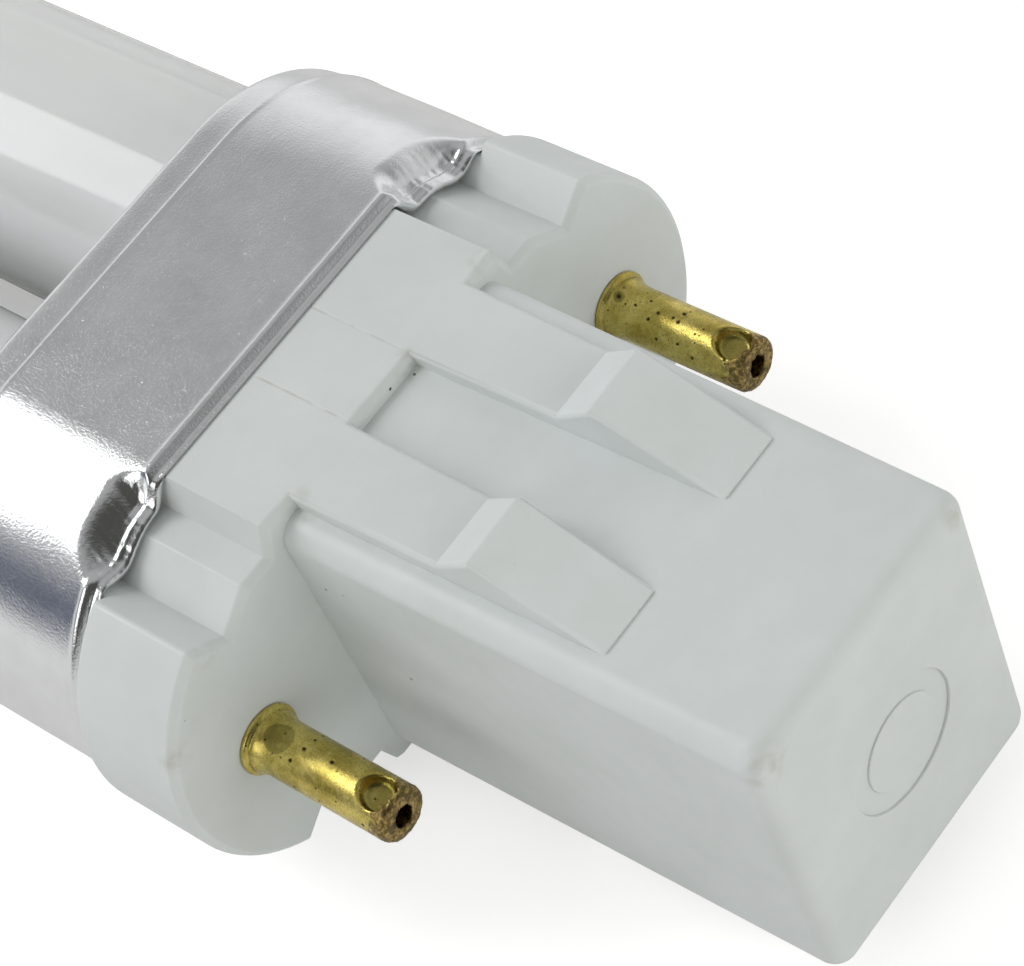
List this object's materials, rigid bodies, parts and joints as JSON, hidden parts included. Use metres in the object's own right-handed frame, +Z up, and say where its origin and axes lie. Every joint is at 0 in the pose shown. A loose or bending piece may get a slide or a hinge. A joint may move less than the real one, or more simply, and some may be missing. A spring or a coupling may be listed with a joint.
{
  "type": "u shaped fluorescent bulb",
  "caption": "U-bent fluorescent tube in an aluminium shell crimped to a white moulded cap, whose ribbed square post and hollow brass pins push into a lamp holder.",
  "frame": {"origin": "middle of the bottom of the whole lamp's box, with the lamp lying on a broad side", "axes": "+X from the left pin to the right pin, +Y along the lamp from the post towards the bend of the tube, +Z up"},
  "size_m": [0.032, 0.1658, 0.0194],
  "materials": {
    "white_plastic": "satin moulded, slightly soiled",
    "shell_aluminium": "bright drawn, fine scratches",
    "pin_brass": "turned, tarnished and pitted",
    "coated_glass": "clear glass over a white inner coating",
    "cement": "dry cement",
    "clear_glass": "clear",
    "capacitor_lacquer": "dipped lacquer",
    "lead_wire": "tinned wire"
  },
  "bodies": {
    "root": {"cap_moulding": "white_plastic", "cap_shell": "shell_aluminium", "pin_left": "pin_brass", "pin_right": "pin_brass", "glass_tube": "coated_glass", "tube_cement": "cement", "starter_bottle": "clear_glass", "starter_capacitor": "capacitor_lacquer", "pin_lead_left": "lead_wire", "pin_lead_right": "lead_wire", "starter_lead_left": "lead_wire", "starter_lead_right": "lead_wire", "capacitor_lead_left": "lead_wire", "capacitor_lead_right": "lead_wire"}
  },
  "joints": []
}
